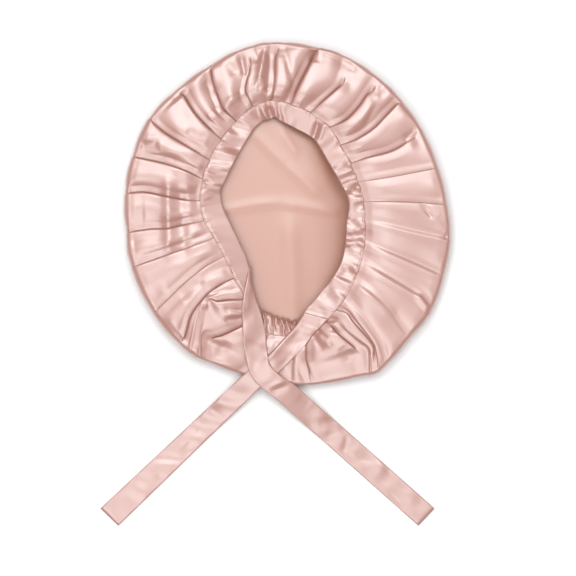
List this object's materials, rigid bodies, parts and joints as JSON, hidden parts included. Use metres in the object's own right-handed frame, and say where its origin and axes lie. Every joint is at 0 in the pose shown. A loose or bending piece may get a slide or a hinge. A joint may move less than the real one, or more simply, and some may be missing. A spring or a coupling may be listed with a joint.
{
  "type": "sleep bonnet",
  "caption": "Puffed satin sleep bonnet lying on its back, opening up, with a pleated crown, a stitched face band, a gathered nape casing and long flat ties that cross.",
  "frame": {"origin": "centre of the bonnet's bounding box in plan, on the surface that it lies on", "axes": "+Z out of the opening, away from the table; +Y from the nape, where the ties cross, towards the top of the face opening; +X to the wearer's left side as seen in the picture"},
  "size_m": [0.3514, 0.4834, 0.034],
  "materials": {
    "crown_satin": "blush pink satin, soft directional sheen",
    "strip_satin": "blush pink satin, soft directional sheen"
  },
  "bodies": {
    "root": {"crown": "crown_satin", "face_band": "strip_satin", "nape_casing": "strip_satin", "tie_left": "strip_satin", "tie_right": "strip_satin"}
  },
  "joints": []
}
